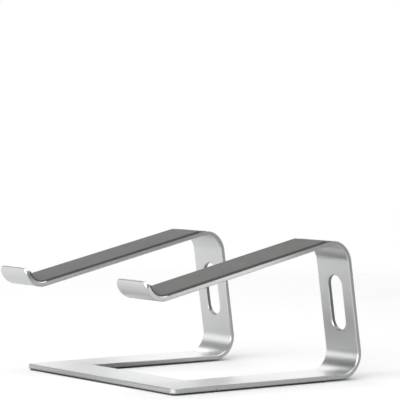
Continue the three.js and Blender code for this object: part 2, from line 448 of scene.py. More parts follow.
@dataclass(frozen=True)
class Run:
    """One stretch of a path: straight when it has a length, a bend when it has a radius and a turn.

    Attributes:
        name: What the stretch is.
        length: Length in metres of a straight run.
        radius: Radius in metres of the middle line of a bend.
        turn: Angle in radians, positive to the left of travel.
    """

    name: str
    length: float = 0.0
    radius: float = 0.0
    turn: float = 0.0

    @property
    def reach(self) -> float:
        """Length of the run along the path."""
        return self.length if self.turn == 0.0 else self.radius * abs(self.turn)


class StripPath:
    """The middle line of a strip in the side view, measured by distance along it."""

    BEND_STEP = math.radians(1.5)
    FLAT_LEAD = 0.0004  # a row this far from each bend keeps the flats' shading flat

    def __init__(self, start: tuple[float, float], runs: list[Run], middle: float = 0.0) -> None:
        """Works out where each run starts.

        Args:
            start: Y and Z of the path's first point. It sets out along +Y.
            runs: The runs in order.
            middle: X of the strip's centre line.
        """
        self.middle = middle
        self.runs = runs
        self.starts = np.concatenate([[0.0], np.cumsum([run.reach for run in runs])])
        y, z, heading = start[0], start[1], 0.0
        self.places: list[tuple[float, float, float]] = []
        for run in runs:
            self.places.append((y, z, heading))
            end = self._travel(run, (y, z, heading), np.array(run.reach))
            y, z, heading = (float(value) for value in end)

    @property
    def length(self) -> float:
        """Whole length of the path."""
        return float(self.starts[-1])

    def start_of(self, name: str) -> float:
        """Distance at which a named run starts."""
        names = [run.name for run in self.runs]
        return float(self.starts[names.index(name)])

    @staticmethod
    def _travel(
        run: Run, place: tuple[float, float, float], distance: np.ndarray
    ) -> tuple[np.ndarray, np.ndarray, np.ndarray]:
        """Y, Z and heading after a distance along a run.

        A straight run goes on by the cosine and sine of its heading. In a bend the heading grows by
        distance over radius, and the place moves by the radius times the change in the heading's
        sine, along Y, and in minus its cosine, along Z.

        Args:
            run: The run.
            place: Y, Z and heading at the run's start.
            distance: Distances from the run's start.

        Returns:
            Arrays of Y, Z and heading.
        """
        y, z, heading = place
        if run.turn == 0.0:
            ahead = np.full_like(distance, heading)
            return y + distance * np.cos(ahead), z + distance * np.sin(ahead), ahead
        side = math.copysign(1.0, run.turn)
        ahead = heading + side * distance / run.radius
        along_y = y + side * run.radius * (np.sin(ahead) - math.sin(heading))
        along_z = z - side * run.radius * (np.cos(ahead) - math.cos(heading))
        return along_y, along_z, ahead

    def place(self, sheet: np.ndarray) -> np.ndarray:
        """Bends points of a flat sheet round the path.

        The point goes to the path's place at its distance, plus its height times the path's left
        normal, which is minus the sine and plus the cosine of the heading. Across stays as X.

        Args:
            sheet: Array (..., 3) of across, distance and height over the middle of the sheet.

        Returns:
            Array (..., 3) of X, Y and Z.
        """
        across, distance, height = np.moveaxis(sheet, -1, 0)
        index = np.clip(np.searchsorted(self.starts, distance, side="right") - 1, 0, len(self.runs) - 1)
        y, z, heading = np.zeros_like(distance), np.zeros_like(distance), np.zeros_like(distance)
        for number, run in enumerate(self.runs):
            here = index == number
            found = self._travel(run, self.places[number], distance[here] - self.starts[number])
            y[here], z[here], heading[here] = found
        along_y, along_z = y - height * np.sin(heading), z + height * np.cos(heading)
        return np.stack([across + self.middle, along_y, along_z], axis=-1)

    def stations(self, start: float, end: float) -> np.ndarray:
        """Distances between two places where a surface needs a row: run ends and bend steps.

        Args:
            start: First distance, left out of the result.
            end: Last distance, left out of the result.

        Returns:
            The distances in order.
        """
        marks = []
        for number, run in enumerate(self.runs):
            first, last = self.starts[number], self.starts[number + 1]
            steps = max(1, math.ceil(abs(run.turn) / self.BEND_STEP))
            marks.append(np.linspace(first, last, steps + 1))
            if run.turn:
                marks.append(np.array([first - self.FLAT_LEAD, last + self.FLAT_LEAD]))
        every = np.unique(np.round(np.concatenate(marks), 9))
        return every[(every > start + WELD) & (every < end - WELD)]


class EdgePart(Enum):
    """Which finish of a cut sheet a face has, as its material number."""

    FACE = 0
    CHAMFER = 1
    WALL = 2
    # the slot's wall, whose material is painted darker as shade
    SLOT_WALL = 3


@dataclass(frozen=True)
class EdgeProfile:
    """The edge of a slab from its upper face to its lower face.

    Attributes:
        points: Pairs of inset from the outline and height over the middle of the sheet.
        parts: The finish of each step between two points.
    """

    points: tuple[tuple[float, float], ...]
    parts: tuple[EdgePart, ...]

    @classmethod
    def chamfered(cls, thickness: float, chamfer: float) -> "EdgeProfile":
        """A square edge with the same bevel on both sides.

        Args:
            thickness: Thickness of the sheet.
            chamfer: Width of the bevel along either face.

        Returns:
            The profile.
        """
        half = thickness / 2
        points = ((chamfer, half), (0.0, half - chamfer), (0.0, chamfer - half), (chamfer, -half))
        return cls(points, (EdgePart.CHAMFER, EdgePart.WALL, EdgePart.CHAMFER))

    @classmethod
    def rounded(cls, thickness: float, upper: float, lower: float, steps: int = 5) -> "EdgeProfile":
        """A square edge with a quarter circle on each side.

        Each quarter circle is inset by its radius times one minus the sine of the angle, and
        stands at the face less its radius times one minus the cosine.

        Args:
            thickness: Thickness of the sheet.
            upper: Radius at the upper face.
            lower: Radius at the lower face.
            steps: Flat steps in each quarter circle.

        Returns:
            The profile.
        """
        half = thickness / 2
        angles = np.linspace(0.0, math.pi / 2, steps + 1)
        over = [(upper * (1 - math.sin(a)), half - upper * (1 - math.cos(a))) for a in angles]
        under = [(lower * (1 - math.sin(a)), lower * (1 - math.cos(a)) - half) for a in angles[::-1]]
        points = tuple(over + under)
        return cls(points, (EdgePart.FACE,) * (len(points) - 1))

    def with_film(self, film: float, setback: float) -> "EdgeProfile":
        """The same edge with a film of glue on the upper face.

        Args:
            film: Thickness of the film.
            setback: How far the film's edge is inside the sheet's.

        Returns:
            The profile, with heights that stay measured from the sheet's own middle.
        """
        top = self.points[0][1]
        points = ((setback, top + film), (setback, top), *self.points)
        return EdgeProfile(points, (EdgePart.FACE,) * (len(points) - 1))

    def insets(self) -> np.ndarray:
        """The insets as an array."""
        return np.array([point[0] for point in self.points])

    def heights(self) -> np.ndarray:
        """The heights as an array."""
        return np.array([point[1] for point in self.points])


@dataclass(frozen=True)
class RoundSlot:
    """A round-ended hole through a slab, long along the path.

    Attributes:
        middle: Distance of its middle along the path.
        width: Width across the strip.
        length: Length over its round ends.
    """

    middle: float
    width: float
    length: float


def at_height(points: np.ndarray, height: float) -> np.ndarray:
    """Gives points of a sheet one height, as their last coordinate."""
    return np.concatenate([points, np.full(points.shape[:-1] + (1,), height)], axis=-1)


@dataclass
class Slab:
    """A flat outline with a profiled edge, carried along a path.

    The outline is a rectangle that is centred across the path, with its own corner radius at the
    start and at the end, and may have one slot. Half of it is made, and the other half mirrors it.

    Attributes:
        half_width: Half the width across the path.
        start: Distance at which the slab starts.
        end: Distance at which it ends.
        profile: The edge.
        height: Height of the sheet's middle over the path, to the left of travel.
        start_radius: Corner radius at the start, or nought for a sharp corner.
        end_radius: Corner radius at the end, or nought for a sharp corner.
        slot: The slot, if there is one.
        start_bevel: Distance across over which the start edge has its bevel, and past which it is square.
        end_bevel: The same for the end edge.
        columns: Faces across half of the slab.
        corner_steps: Faces round a corner, and round a quarter of the slot.
    """

    half_width: float
    start: float
    end: float
    profile: EdgeProfile
    height: float = 0.0
    start_radius: float = 0.0
    end_radius: float = 0.0
    slot: RoundSlot | None = None
    start_bevel: float = math.inf
    end_bevel: float = math.inf
    columns: int = 6
    corner_steps: int = 14

    def _side_rows(self, path: StripPath) -> tuple[np.ndarray, np.ndarray]:
        """Distances of the rows beside the straight edge, and the slot angle of each row.

        Args:
            path: The path that the slab follows.

        Returns:
            The distances, and angles round the slot from minus to plus a quarter turn, or NaN off it.
        """
        margin = float(self.profile.insets().max())
        low = self.start + max(self.start_radius, margin)
        high = self.end - max(self.end_radius, margin)
        rows = path.stations(low, high)
        if self.start_radius > 0:
            rows = np.concatenate([[low], rows])
        if self.end_radius > 0:
            rows = np.concatenate([rows, [high]])
        if self.slot is None:
            return rows, np.full_like(rows, np.nan)
        angles = self._slot_angles()
        distances = self._slot_loop(float(self.profile.insets()[0]))[:, 1]
        before = rows[rows < distances[0] - WELD]
        after = rows[rows > distances[-1] + WELD]
        blank = [np.full(before.shape, np.nan), angles, np.full(after.shape, np.nan)]
        return np.concatenate([before, distances, after]), np.concatenate(blank)

    def _slot_angles(self) -> np.ndarray:
        """Angles round the slot's two ends, from minus a quarter turn to a quarter turn."""
        quarter = np.linspace(0.0, math.pi / 2, self.corner_steps + 1)
        return np.concatenate([-quarter[::-1], quarter])

    def _slot_loop(self, inset: float) -> np.ndarray:
        """Across and distance of the slot's right half, grown by an inset.

        A point is off the centre of the slot's round end by the grown radius, times the angle's
        cosine across and its sine along.

        Args:
            inset: How far outside the slot's own outline.

        Returns:
            Array (n, 2), from the slot's lower end to its upper end.
        """
        radius = self.slot.width / 2
        reach = self.slot.length / 2 - radius
        centres = self.slot.middle + np.repeat([-reach, reach], self.corner_steps + 1)
        angles, grown = self._slot_angles(), radius + inset
        return np.stack([grown * np.cos(angles), centres + grown * np.sin(angles)], axis=1)

    def _columns_between(self, inner: np.ndarray, outer: np.ndarray) -> np.ndarray:
        """Places across a row: even shares, or with two columns where a bevelled end turns square.

        Args:
            inner: Where each row starts.
            outer: Where each row ends.

        Returns:
            Array (rows, columns + 1).
        """
        shares = np.linspace(0.0, 1.0, self.columns + 1)
        across = inner[:, None] + (outer - inner)[:, None] * shares
        if 0.0 < self.end_bevel < self.half_width:
            across[:, :-2] = np.linspace(0.0, self.end_bevel, self.columns - 1)
            across[:, -2] = self.end_bevel + float(self.profile.insets()[0])
        return across

    def _edge_loop(self, inset: float, path: StripPath) -> np.ndarray:
        """Across and distance of the outline's right half at an inset.

        It goes across the start, round the first corner, along the side, round the second corner
        and back across the end. A corner point is off the corner's centre by the radius less the
        inset, times the angle's sine across and its cosine towards the end.

        Args:
            inset: How far inside the full outline.
            path: The path that the slab follows.

        Returns:
            Array (n, 2). Its length doesn't depend on the inset.
        """
        sides, _ = self._side_rows(path)
        quarter = np.linspace(0.0, math.pi / 2, self.corner_steps + 1)
        parts = []
        for radius, distance, sign, bevel in (
            (self.start_radius, self.start, 1.0, self.start_bevel),
            (self.end_radius, self.end, -1.0, self.end_bevel),
        ):
            wide = self.half_width - (radius if radius > 0 else inset)
            places = self._columns_between(np.zeros(1), np.array([wide]))[0]
            across = np.stack([places, distance + sign * inset * (places <= bevel + WELD)], axis=1)
            angles = quarter[1:-1]
            centre = (self.half_width - radius, distance + sign * radius)
            left = radius - inset
            round_points = [centre[0] + left * np.sin(angles), centre[1] - sign * left * np.cos(angles)]
            turn = np.stack(round_points, axis=1)
            whole = np.concatenate([across, turn]) if radius > 0 else across
            parts.append(whole if sign > 0 else whole[::-1])
        side = np.stack([np.full_like(sides, self.half_width - inset), sides], axis=1)
        return np.concatenate([parts[0], side, parts[1]])

    def _face_grid(self, inset: float, path: StripPath) -> np.ndarray:
        """Across and distance of the right half of a face, as rows across the slab.

        Each row runs in even shares from its inner end, which is the middle line or the slot's
        edge, to the outline.

        Args:
            inset: How far the face's edge is inside the full outline.
            path: The path that the slab follows.

        Returns:
            Array (rows, columns + 1, 2).
        """
        loop = self._edge_loop(inset, path)
        outer = loop[self.columns : len(loop) - self.columns]
        inner = np.zeros(len(outer))
        _, angles = self._side_rows(path)
        if self.slot is not None:
            lead = self.corner_steps if self.start_radius > 0 else 1
            grown = self.slot.width / 2 + inset
            inner[lead : lead + len(angles)] = np.nan_to_num(grown * np.cos(angles))
        across = self._columns_between(inner, outer[:, 0])
        distance = np.repeat(outer[:, 1][:, None], self.columns + 1, axis=1)
        face = np.stack([across, distance], axis=-1)
        face[0] = loop[: self.columns + 1]
        face[-1] = loop[len(loop) - self.columns - 1 :][::-1]
        return face

    def patches(self, path: StripPath) -> list[tuple[np.ndarray, EdgePart, bool]]:
        """The surface of the right half, as grids in sheet coordinates.

        Args:
            path: The path that the slab follows.

        Returns:
            For each grid its points (rows, columns, 3), its finish, and whether it is turned over.
        """
        insets, heights = self.profile.insets(), self.profile.heights() + self.height
        grids: list[tuple[np.ndarray, EdgePart, bool]] = []
        for level, turned in ((0, False), (-1, True)):
            face = self._face_grid(float(insets[level]), path)
            grids.append((at_height(face, heights[level]), EdgePart.FACE, turned))
        loops = [self._edge_loop(float(inset), path) for inset in insets]
        rings = [at_height(loop, height) for loop, height in zip(loops, heights)]
        for upper, lower, part in zip(rings[:-1], rings[1:], self.profile.parts):
            grids.append((np.stack([upper, lower], axis=1), part, False))
        if self.slot is not None:
            walls = [at_height(self._slot_loop(float(inset)), h) for inset, h in zip(insets, heights)]
            for upper, lower, part in zip(walls[:-1], walls[1:], self.profile.parts):
                # the slot's square wall takes the darker material, painted shade inside the slot
                finish = EdgePart.SLOT_WALL if part is EdgePart.WALL else part
                grids.append((np.stack([upper, lower], axis=1), finish, True))
        return grids


def grid_quads(rows: int, columns: int) -> np.ndarray:
    """Corner numbers of a grid's quads, for points that are numbered row by row."""
    index = np.arange(rows * columns).reshape(rows, columns)
    corners = [index[:-1, :-1], index[:-1, 1:], index[1:, 1:], index[1:, :-1]]
    return np.stack(corners, axis=-1).reshape(-1, 4)


class MeshMaker:
    """Gathers grids of points and turns them into one closed mesh."""

    def __init__(self) -> None:
        """Starts empty."""
        self.points: list[np.ndarray] = []
        self.sheet: list[np.ndarray] = []
        self.quads: list[np.ndarray] = []
        self.finish: list[np.ndarray] = []
        self.count = 0

    def add_grid(self, points: np.ndarray, sheet: np.ndarray, finish: int = 0, turned: bool = False) -> None:
        """Adds the quads of one grid.

        Args:
            points: Array (rows, columns, 3) of places.
            sheet: Array (rows, columns, 2) of UV values.
            finish: Material number of the quads.
            turned: Whether the quads face the other way.
        """
        rows, columns = points.shape[:2]
        quads = self.count + grid_quads(rows, columns)
        self.quads.append(quads[:, ::-1] if turned else quads)
        self.points.append(points.reshape(-1, 3))
        self.sheet.append(sheet.reshape(-1, 2))
        self.finish.append(np.full(len(quads), finish))
        self.count += rows * columns

    def add_slab(self, slab: Slab, path: StripPath) -> None:
        """Adds both halves of a slab, bent round its path.

        The UV value is the distance along the path, and across plus the drop below the upper face,
        so that lines along the strip stay even round its edge.

        Args:
            slab: The slab.
            path: Its path.
        """
        top = float(slab.profile.heights()[0]) + slab.height
        for grid, part, turned in slab.patches(path):
            for side in (1.0, -1.0):
                half = grid * np.array([side, 1.0, 1.0])
                uv = np.stack([grid[..., 1], side * (grid[..., 0] + top - grid[..., 2])], axis=-1)
                self.add_grid(path.place(half), uv, part.value, turned if side > 0 else not turned)

    def build(self, name: str, materials: list[bpy.types.Material]) -> bpy.types.Object:
        """Makes the object: doubles welded, faces outwards, smooth but for sharp edges.

        Args:
            name: The object's name.
            materials: Its materials, in the order of the material numbers.

        Returns:
            The object, at the origin.
        """
        mesh = bpy.data.meshes.new(name)
        quads = np.concatenate(self.quads)
        mesh.from_pydata(np.concatenate(self.points), [], quads.tolist())
        layer = mesh.uv_layers.new(name=SHEET_UV)
        corners = np.concatenate(self.sheet)[quads.ravel()]
        layer.data.foreach_set("uv", corners.ravel().astype(np.float32))
        mesh.polygons.foreach_set("material_index", np.concatenate(self.finish).astype(np.int32))
        for material in materials:
            mesh.materials.append(material)
        seal(mesh)
        return new_object(name, mesh)


def seal(mesh: bpy.types.Mesh) -> None:
    """Welds doubles, drops collapsed faces, turns faces outwards and marks sharp edges.

    Args:
        mesh: The mesh to finish.
    """
    work = bmesh.new()
    work.from_mesh(mesh)
    bmesh.ops.remove_doubles(work, verts=work.verts, dist=WELD)
    bmesh.ops.dissolve_degenerate(work, edges=work.edges, dist=WELD / 4)
    bmesh.ops.recalc_face_normals(work, faces=work.faces)
    loose = sum(1 for edge in work.edges if len(edge.link_faces) != 2)
    if loose:
        log.warning("%s has %d edges without two faces", mesh.name, loose)
    work.to_mesh(mesh)
    work.free()
    mesh.polygons.foreach_set("use_smooth", np.ones(len(mesh.polygons), dtype=bool))
    mesh.set_sharp_from_angle(angle=SHARP_ANGLE)
    mesh.update()


def new_object(name: str, mesh: bpy.types.Mesh) -> bpy.types.Object:
    """Puts a mesh into the scene at the origin.

    Args:
        name: The object's name.
        mesh: Its mesh.

    Returns:
        The object.
    """
    thing = bpy.data.objects.new(name, mesh)
    bpy.context.scene.collection.objects.link(thing)
    return thing


def combine(base: bpy.types.Object, tools: list[bpy.types.Object], operation: str) -> None:
    """Joins tools to a base, or cuts them out of it, and removes them.

    Args:
        base: The object that is changed.
        tools: Closed objects.
        operation: UNION or DIFFERENCE.
    """
    for tool in tools:
        step = base.modifiers.new("combine", "BOOLEAN")
        step.operation, step.object, step.solver = operation, tool, "EXACT"
    graph = bpy.context.evaluated_depsgraph_get()
    mesh = bpy.data.meshes.new_from_object(base.evaluated_get(graph))
    base.modifiers.clear()
    old = base.data
    mesh.name = old.name
    base.data = mesh
    bpy.data.meshes.remove(old)
    for tool in tools:
        bpy.data.objects.remove(tool)
    seal(mesh)


@dataclass(frozen=True)
class Stand:
    """Sizes that the sub-assemblies share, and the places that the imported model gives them.

    Attributes:
        sheet: Thickness of the aluminium.
        chamfer: Width of the cut bevel.
        arm_width: Width of an arm.
        seam: Gap between the crossbar and an arm.
        film: Thickness of the glue under every pad.
        film_setback: How far the glue's edge is inside the pad's.
        glued_round: Radius along the edges of a mat's glued side.
        tongue_half_width: Half the width of the tongue that joins an arm to the crossbar.
        tongue_length: How far the tongue reaches forward of the seam.
        tongue_thickness: Thickness of the tongue.
        tongue_radius: Corner radius of the tongue.
        play: Clearance round the tongue, and between a screw and its hole.
        screw_spacing: Distance between an arm's two screws.
        screw_setback: Distance from the seam to the screws.
    """

    sheet: float = 0.0048
    chamfer: float = 0.0007
    arm_width: float = 0.05
    seam: float = 0.0003
    film: float = 0.0003
    film_setback: float = 0.0004
    glued_round: float = 0.0001
    tongue_half_width: float = 0.017
    tongue_length: float = 0.034
    tongue_thickness: float = 0.002
    tongue_radius: float = 0.004
    play: float = 0.0003
    screw_spacing: float = 0.018
    screw_setback: float = 0.017

    @property
    def front(self) -> float:
        """Y of the crossbar's front edge."""
        return float(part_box("front_crossbar")[0][1])

    @property
    def metal_bottom(self) -> float:
        """Z of the underside of the aluminium."""
        return float(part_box("front_crossbar")[0][2])

    @property
    def metal_middle(self) -> float:
        """Z of the middle of the aluminium that lies flat."""
        return self.metal_bottom + self.sheet / 2

    @property
    def seam_front(self) -> float:
        """Y of the crossbar's rear face."""
        return float(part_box("front_crossbar")[1][1])

    @property
    def seam_rear(self) -> float:
        """Y of each arm's front face."""
        return self.seam_front + self.seam

    @property
    def tongue_front(self) -> float:
        """Y of the tongues' front ends."""
        return self.seam_rear - self.tongue_length

    def arm_middle(self, hand: Hand) -> float:
        """X of an arm's centre line."""
        low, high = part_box(f"{hand.name.lower()}_arm")
        return float(low[0] + high[0]) / 2

    def screw_places(self, hand: Hand) -> dict[str, tuple[float, float]]:
        """X and Y of an arm's screws, under the names inner and outer."""
        reach = hand.value * self.screw_spacing / 2
        middle, y = self.arm_middle(hand), self.seam_rear - self.screw_setback
        return {"outer": (middle + reach, y), "inner": (middle - reach, y)}

    def edge(self) -> EdgeProfile:
        """The bevelled edge of the aluminium."""
        return EdgeProfile.chamfered(self.sheet, self.chamfer)

    def mat_edge(self, thick: float, lower_round: float) -> EdgeProfile:
        """The edge of a rubber mat that is glued on by its upper side."""
        rubber = EdgeProfile.rounded(thick, self.glued_round, lower_round)
        return rubber.with_film(self.film, self.film_setback)


def level_path(front: float, z: float, length: float, middle: float = 0.0) -> StripPath:
    """A straight path that runs back along Y.

    Args:
        front: Y where it starts.
        z: Its height.
        length: Its length.
        middle: X of the strip's centre line.

    Returns:
        The path.
    """
    return StripPath((front, z), [Run("level", length=length)], middle)


def slab_object(
    name: str, slab: Slab, path: StripPath, materials: list[bpy.types.Material]
) -> bpy.types.Object:
    """Makes one slab an object.

    Args:
        name: The object's name.
        slab: The slab.
        path: Its path.
        materials: Its materials.

    Returns:
        The object.
    """
    maker = MeshMaker()
    maker.add_slab(slab, path)
    return maker.build(name, materials)


def tongue_block(
    name: str,
    stand: Stand,
    hand: Hand,
    grow: float,
    bottom: float,
    top: float,
    materials: list[bpy.types.Material],
) -> bpy.types.Object:
    """The tongue's outline as a plain block, grown all round and run a little past the seam.

    Args:
        name: The object's name.
        stand: The shared sizes.
        hand: The arm it belongs to.
        grow: How far it grows in plan.
        bottom: Z of its underside.
        top: Z of its top.
        materials: Its materials.

    Returns:
        The block.
    """
    length = stand.tongue_length + grow + OVERRUN
    half = (top - bottom) / 2
    block = Slab(
        half_width=stand.tongue_half_width + grow,
        start=0.0,
        end=length,
        profile=EdgeProfile(((0.0, half), (0.0, -half)), (EdgePart.FACE,)),
        start_radius=stand.tongue_radius + grow,
    )
    path = level_path(stand.tongue_front - grow, (top + bottom) / 2, length, stand.arm_middle(hand))
    return slab_object(name, block, path, materials)


Ring = tuple[np.ndarray | float, np.ndarray | float]  # reach and height, as numbers or one for each angle


class Turning:
    """Closed shapes that are turned about an upright axis."""

    SIDES = 60

    def __init__(self, x: float, y: float) -> None:
        """Sets the axis.

        Args:
            x: X of the axis.
            y: Y of the axis.
        """
        self.x, self.y = x, y
        self.angles = np.linspace(0.0, 2 * math.pi, self.SIDES + 1)

    def hexagon(self, across_flats: float) -> np.ndarray:
        """Reach of a hexagon: half its width over the cosine of the angle from the nearest flat."""
        sixth = math.pi / 3
        return across_flats / 2 / np.cos((self.angles + sixth / 2) % sixth - sixth / 2)

    def shape(self, name: str, rings: list[Ring], materials: list[bpy.types.Material]) -> bpy.types.Object:
        """Carries rings round the axis: X and Y are the reach times the angle's cosine and sine.

        Args:
            name: The object's name.
            rings: The rings in order. The first and last have no reach, and close the shape.
            materials: Its materials.

        Returns:
            The object.
        """
        reach = np.stack([np.broadcast_to(ring[0], self.angles.shape) for ring in rings])
        height = np.stack([np.broadcast_to(ring[1], self.angles.shape) for ring in rings])
        x = self.x + reach * np.cos(self.angles)
        y = self.y + reach * np.sin(self.angles)
        maker = MeshMaker()
        sheet = np.stack([reach * self.angles, height], axis=-1)
        maker.add_grid(np.stack([x, y, height], axis=-1), sheet)
        return maker.build(name, materials)


@dataclass
class Crossbar:
    """The flat bar across the front, with the pockets that take the arms' tongues, and its mat.

    Attributes:
        stand: The shared sizes.
        finishes: The materials.
        corner_radius: Radius of the two front corners.
        bore: Radius of the screws' holes.
        bore_top_cover: Metal left above them.
        mat_margin: Bare metal round the mat.
        mat_round: Radius of the mat's lower edge.
        mat_rear_corner: Radius of the mat's two rear corners.
    """

    stand: Stand
    finishes: Finishes
    corner_radius: float = 0.007
    bore: float = 0.0023
    bore_top_cover: float = 0.0006
    mat_margin: float = 0.0015
    mat_round: float = 0.0004
    mat_rear_corner: float = 0.001

    def plate(self) -> bpy.types.Object:
        """The aluminium bar. Its rear edge is bevelled between the arms and square where they meet it."""
        stand = self.stand
        low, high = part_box("front_crossbar")
        half, depth = float(high[0]), float(high[1] - low[1])
        slab = Slab(
            half_width=half,
            start=0.0,
            end=depth,
            profile=stand.edge(),
            start_radius=self.corner_radius,
            end_bevel=half - stand.arm_width,
            columns=10,
        )
        metal, bottom = self.finishes.metal(), stand.metal_bottom
        plate = slab_object("crossbar_plate", slab, level_path(stand.front, stand.metal_middle, depth), metal)
        roof = bottom + stand.tongue_thickness + stand.play
        top = bottom + stand.sheet - self.bore_top_cover
        bore = [(0.0, bottom), (self.bore, bottom), (self.bore, top), (0.0, top)]
        cutters = []
        for hand in Hand:
            name = hand.name.lower()
            pocket = f"{name}_pocket"
            cutters.append(tongue_block(pocket, stand, hand, stand.play, bottom - OVERRUN, roof, metal))
            for place, (x, y) in stand.screw_places(hand).items():
                cutters.append(Turning(x, y).shape(f"{name}_{place}_bore", bore, metal))
        combine(plate, cutters, "DIFFERENCE")
        return plate

    def mat(self) -> bpy.types.Object:
        """The rubber mat under the bar, cut out round both tongues."""
        stand = self.stand
        low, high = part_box("crossbar_foot_pad")
        thick, length = float(high[2] - low[2]), float(high[1] - low[1])
        rubber = [self.finishes.rubber]
        slab = Slab(
            half_width=float(high[0]),
            start=0.0,
            end=length,
            profile=stand.mat_edge(thick, self.mat_round),
            start_radius=self.corner_radius - self.mat_margin,
            end_radius=self.mat_rear_corner,
        )
        mat = slab_object("crossbar_mat", slab, level_path(float(low[1]), thick / 2, length), rubber)
        below, above = -OVERRUN, stand.metal_bottom + OVERRUN
        notches = [
            tongue_block(f"{hand.name.lower()}_notch", stand, hand, self.mat_margin, below, above, rubber)
            for hand in Hand
        ]
        combine(mat, notches, "DIFFERENCE")
        return mat


@dataclass
class CountersunkScrew:
    """A countersunk machine screw with a hexagon socket, driven up from below.

    Attributes:
        finishes: The materials.
        radius: Radius over the thread.
        head_radius: Radius of the head.
        rim: Straight rim below the cone.
        head_edge: Inset and rise of each point of the head's softened lower edge.
        socket: Width across the socket's flats.
        socket_depth: Depth of the socket.
        socket_bevel: Bevel round the socket's mouth.
        socket_wall: Share of the depth down to which its walls stand upright.
        socket_floor: Share of its width that its floor has.
        pitch: Distance between two threads.
        thread_depth: Depth of the thread.
        thread_lead: Plain shank between the cone and the thread.
        thread_rows: Rings of points along the thread.
        tip: Bevel at the tip.
    """

    finishes: Finishes
    radius: float = 0.002
    head_radius: float = 0.0036
    rim: float = 0.0002
    head_edge: tuple[tuple[float, float], ...] = ((0.00025, 0.0), (0.00007, 0.00006), (0.0, 0.00016))
    socket: float = 0.0025
    socket_depth: float = 0.0011
    socket_bevel: float = 0.00012
    socket_wall: float = 0.85
    socket_floor: float = 0.92
    pitch: float = 0.0007
    thread_depth: float = 0.0003
    thread_lead: float = 0.0001
    thread_rows: int = 28
    tip: float = 0.0003

    def build(self, node: str, place: tuple[float, float]) -> bpy.types.Object:
        """Makes one screw.

        The thread's reach falls from the full radius by its depth times a triangle wave of the
        height over the pitch plus the turn's share of a circle. It fades out at both ends.

        Args:
            node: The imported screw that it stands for.
            place: X and Y of its axis.

        Returns:
            The screw.
        """
        low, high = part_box(node)
        bottom, top = float(low[2]), float(high[2])
        turning = Turning(*place)
        hexagon = turning.hexagon(self.socket)
        cone_top = bottom + self.rim + self.head_radius - self.radius
        levels = np.linspace(cone_top + self.thread_lead, top - self.tip, self.thread_rows)
        fade = np.clip(np.minimum(levels - levels[0], levels[-1] - levels) / self.pitch * 2, 0.0, 1.0)
        phase = (levels[:, None] - bottom) / self.pitch + turning.angles / (2 * math.pi)
        wave = np.abs((phase % 1.0) * 2 - 1)
        reach = self.radius - self.thread_depth * wave * fade[:, None]
        thread = [(reach[row], level) for row, level in enumerate(levels)]
        rings = [
            (0.0, bottom + self.socket_depth),
            (hexagon * self.socket_floor, bottom + self.socket_depth),
            (hexagon, bottom + self.socket_depth * self.socket_wall),
            (hexagon, bottom + self.socket_bevel),
            (hexagon + self.socket_bevel, bottom),
            *[(self.head_radius - inset, bottom + rise) for inset, rise in self.head_edge],
            (self.head_radius, bottom + self.rim),
            (self.radius, cone_top),
            *thread,
            (self.radius - self.tip, top),
            (0.0, top),
        ]
        return turning.shape(f"{node}_turned", rings, [self.finishes.steel])


